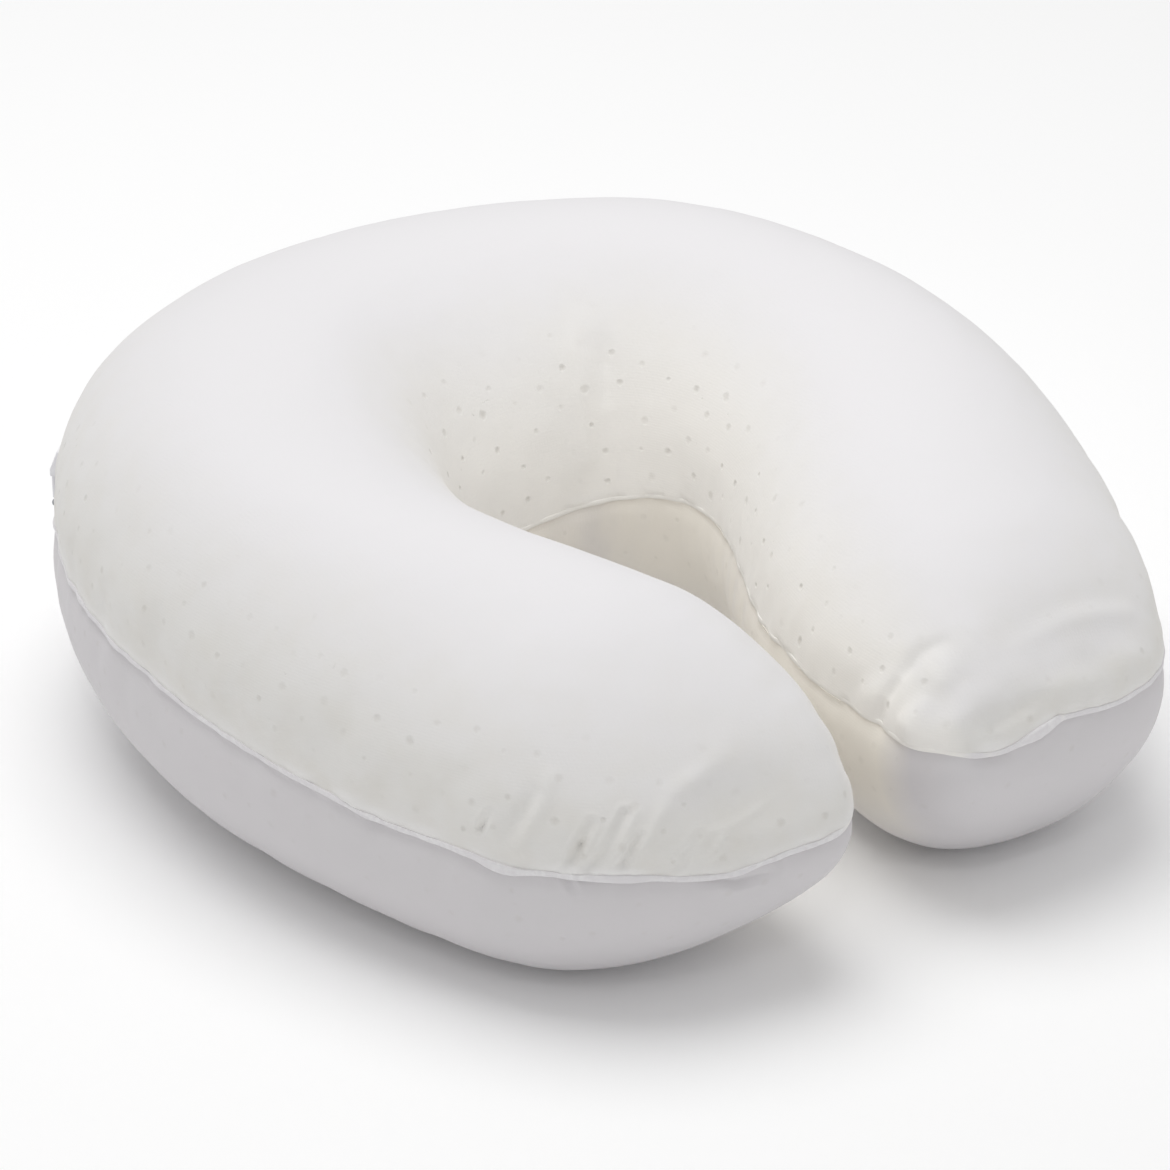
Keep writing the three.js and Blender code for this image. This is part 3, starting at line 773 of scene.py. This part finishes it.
outline = bpy.data.curves.new("edge_section", "CURVE")
outline.dimensions = "2D"
oval = outline.splines.new("POLY")
oval.points.add(EDGE_SIDES - 1)
for i, point in enumerate(oval.points):
    turn = 2 * math.pi * i / EDGE_SIDES
    across, up = (math.copysign(abs(way) ** EDGE_SQUARENESS, way) for way in (math.cos(turn), math.sin(turn)))
    point.co = (across * EDGE_DEEP, up * EDGE_TALL, 0, 1)
oval.use_cyclic_u = True
section = bpy.data.objects.new("edge_section", outline)
cord = bpy.data.curves.new("sewn_edge", "CURVE")
cord.dimensions = "3D"
cord.twist_mode = "Z_UP"
cord.bevel_mode = "OBJECT"
cord.bevel_object = section
spline = cord.splines.new("POLY")
spline.points.add(len(line) - 1)
spline.points.foreach_set("co", np.column_stack([line, np.ones(len(line))]).ravel())
spline.points.foreach_set("radius", thick)
spline.use_cyclic_u = True
sewn = bpy.data.objects.new("sewn_edge_line", cord)
bpy.context.scene.collection.objects.link(sewn)
sewn_mesh = bpy.data.meshes.new_from_object(sewn.evaluated_get(bpy.context.evaluated_depsgraph_get()))
sewn_edge = shown("sewn_edge", sewn_mesh)
bpy.data.objects.remove(sewn)
bpy.data.objects.remove(section)
for face in sewn_edge.data.polygons:
    face.use_smooth = True
keep_on(sewn_edge, "in_hole", "FLOAT", np.repeat(in_hole, EDGE_SIDES))

EDGE_WHITE = (0.82, 0.81, 0.815, 1)
EDGE_SHADE = (0.75, 0.73, 0.745, 1)
THREAD_SIZE = 1.6 * MM
THREAD_RELIEF = 0.12 * MM
BRIGHT_RUN = 18 * MM
overlock = Finish("overlocked_edge", roughness=0.85, sheen=0.1)
threads = overlock.grain(THREAD_SIZE, detail=4.0)
bright_runs = (overlock.grain(BRIGHT_RUN) * 3 - 0.9).in_range()
edge_colour = overlock.blend((threads * 4 - 1.5).in_range() * bright_runs, EDGE_SHADE, EDGE_WHITE)
overlock.finish(
    sewn_edge,
    # Painted light: round the neck hole the edge takes the upper panel's brighter cream.
    overlock.blend(overlock.kept("in_hole"), edge_colour, UPPER_PAINTED_HOLE_LIGHT),
    threads * THREAD_RELIEF,
)
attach(sewn_edge, "root")
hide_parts("seam_ridge")


# The zip's slider and its hanging pull, moulded in pale grey nylon. The pull is a thin plate with
# a sunk face each side, and ends in a darker round knob with a moulding line round its waist.
ZIP_EASE = 0.12 * MM
ZIP_SHARP = math.radians(25)
PULL_BORDER = 0.45 * MM
PULL_SUNK = 0.15 * MM
KNOB_LINE = 0.07 * MM
NYLON_GREY = (0.79, 0.785, 0.81, 1)
NYLON_SCUFFED = (0.86, 0.855, 0.88, 1)
KNOB_GREY = (0.31, 0.325, 0.345, 1)
KNOB_SCUFFED = (0.40, 0.41, 0.43, 1)
NYLON_ROUGHNESS = (0.38, 0.58)
SCUFF_SIZE = 1.5 * MM
SCUFF_RELIEF = 0.02 * MM
FLAT_WITHIN = math.radians(2)
AT_WAIST = 1e-7


def whole_node(node):
    """A copy of a node's solid with its loose triangles joined."""
    solid = bmesh.new()
    solid.from_mesh(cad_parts[node].data)
    bmesh.ops.remove_doubles(solid, verts=solid.verts, dist=JOINED_WITHIN)
    return solid


def dissolve_flat(solid):
    """Makes each flat face one face again."""
    bmesh.ops.dissolve_limit(solid, angle_limit=FLAT_WITHIN, verts=solid.verts, edges=solid.edges)


def eased(solid):
    """Softens the sharp edges of a moulded piece."""
    dissolve_flat(solid)
    sharp = [e for e in solid.edges if e.calc_face_angle(0) > ZIP_SHARP]
    bmesh.ops.bevel(
        solid,
        geom=sharp,
        offset=ZIP_EASE,
        offset_type="OFFSET",
        affect="EDGES",
        segments=2,
        profile=0.5,
        material=-1,
        clamp_overlap=True,
    )


def moulded(name, solid, finish):
    """A moulded piece of the zip, made from its solid."""
    for face in solid.faces:
        face.smooth = True
    piece = shown(name, bpy.data.meshes.new(name))
    solid.to_mesh(piece.data)
    solid.free()
    piece.data.materials.append(finish.material)
    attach(piece, "root")
    return piece


def nylon(name, plain, scuffed):
    """Moulded nylon, scuffed in patches."""
    smooth, rough = NYLON_ROUGHNESS
    finish = Finish(name, roughness=smooth)
    scuffs = finish.grain(SCUFF_SIZE)
    roughness = scuffs * (rough - smooth) + smooth
    bump = finish.node(
        "ShaderNodeBump", {}, {"Strength": 1.0, "Distance": 1.0, "Height": scuffs * SCUFF_RELIEF}
    )
    finish.feed(
        finish.shader,
        {"Base Color": finish.blend(scuffs, plain, scuffed), "Roughness": roughness, "Normal": bump},
    )
    return finish


pale_nylon = nylon("pale_nylon", NYLON_GREY, NYLON_SCUFFED)
dark_nylon = nylon("dark_nylon", KNOB_GREY, KNOB_SCUFFED)

slider_solid = whole_node("zip_slider")
eased(slider_solid)
slider = moulded("slider", slider_solid, pale_nylon)
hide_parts("zip_slider")

pull_solid = whole_node("zip_pull")
dissolve_flat(pull_solid)
for face in sorted(pull_solid.faces, key=lambda face: -face.calc_area())[:2]:
    for across, down in ((PULL_BORDER, 0), (PULL_SUNK, -PULL_SUNK)):
        bmesh.ops.inset_region(pull_solid, faces=[face], thickness=across, depth=down, use_even_offset=True)
pull = moulded("pull", pull_solid, pale_nylon)
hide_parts("zip_pull")

knob_low, knob_high = (Vector(corner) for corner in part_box("zip_pull_knob"))
knob_middle = (knob_low + knob_high) / 2
knob_solid = bmesh.new()
bmesh.ops.create_uvsphere(knob_solid, u_segments=28, v_segments=20, radius=(knob_high.z - knob_low.z) / 2)
waist = [e for e in knob_solid.edges if all(abs(v.co.z) < AT_WAIST for v in e.verts)]
line_round = bmesh.ops.bevel(
    knob_solid, geom=waist, offset=2 * KNOB_LINE, affect="EDGES", segments=2, profile=0.5, material=-1
)
for v in line_round["verts"]:
    if abs(v.co.z) < AT_WAIST:
        v.co.xy *= 1 - KNOB_LINE / v.co.xy.length
bmesh.ops.translate(knob_solid, verts=knob_solid.verts, vec=knob_middle)
knob = moulded("pull_knob", knob_solid, dark_nylon)
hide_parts("zip_pull_knob")


# The floor and the light: a plain white ground, a wide soft box overhead, two small soft lamps
# that look into the neck hole and at the right arm's end, and pale surroundings.
FLOOR_ACROSS = 12
FLOOR_DROP = 0.2 * MM
FLOOR_GLOW = 0.02
FLOOR_WHITE = (0.97, 0.97, 0.97, 1)
SURROUNDINGS = 0.54
LAMP_SOFTNESS = 0.12

ground = bmesh.new()
bmesh.ops.create_grid(ground, x_segments=1, y_segments=1, size=FLOOR_ACROSS / 2)
bmesh.ops.translate(ground, verts=ground.verts, vec=(0, 0, -FLOOR_DROP))
floor = shown("floor", bpy.data.meshes.new("floor"))
ground.to_mesh(floor.data)
ground.free()
white_ground = bpy.data.materials.new("white_ground")
white_ground.use_nodes = True
ground_shader = white_ground.node_tree.nodes["Principled BSDF"].inputs
ground_shader["Base Color"].default_value = FLOOR_WHITE
ground_shader["Roughness"].default_value = 1.0
ground_shader["Emission Color"].default_value = (1, 1, 1, 1)
ground_shader["Emission Strength"].default_value = FLOOR_GLOW
floor.data.materials.append(white_ground)


def lamp(name, kind, place, looks_at, **settings):
    """A lamp at a place, turned to look at another."""
    light = bpy.data.objects.new(name, bpy.data.lights.new(name, kind))
    for setting, value in settings.items():
        setattr(light.data, setting, value)
    light.location = place
    light.rotation_euler = (Vector(looks_at) - light.location).to_track_quat("-Z", "Y").to_euler()
    bpy.context.scene.collection.objects.link(light)


lamp("soft_box", "AREA", (-0.1, 0.25, 1.5), (0, 0, 0), shape="DISK", size=1.4, energy=13)
lamp(
    "hole_lamp",
    "SPOT",
    (-0.55, -0.75, 1.05),
    (0.03, 0.01, 0.06),
    energy=18,
    spot_size=math.radians(11),
    spot_blend=1.0,
    shadow_soft_size=LAMP_SOFTNESS,
)
lamp(
    "right_arm_lamp",
    "SPOT",
    (0.9, -1.1, 0.5),
    (0.10, -0.12, 0.04),
    energy=6,
    spot_size=math.radians(10),
    spot_blend=1.0,
    shadow_soft_size=LAMP_SOFTNESS,
)
surroundings = bpy.data.worlds.new("surroundings")
surroundings.use_nodes = True
sky = surroundings.node_tree.nodes["Background"].inputs
sky["Color"].default_value = (1.0, 1.0, 1.0, 1)
sky["Strength"].default_value = SURROUNDINGS
bpy.context.scene.world = surroundings
bpy.context.scene.view_settings.view_transform = "Standard"
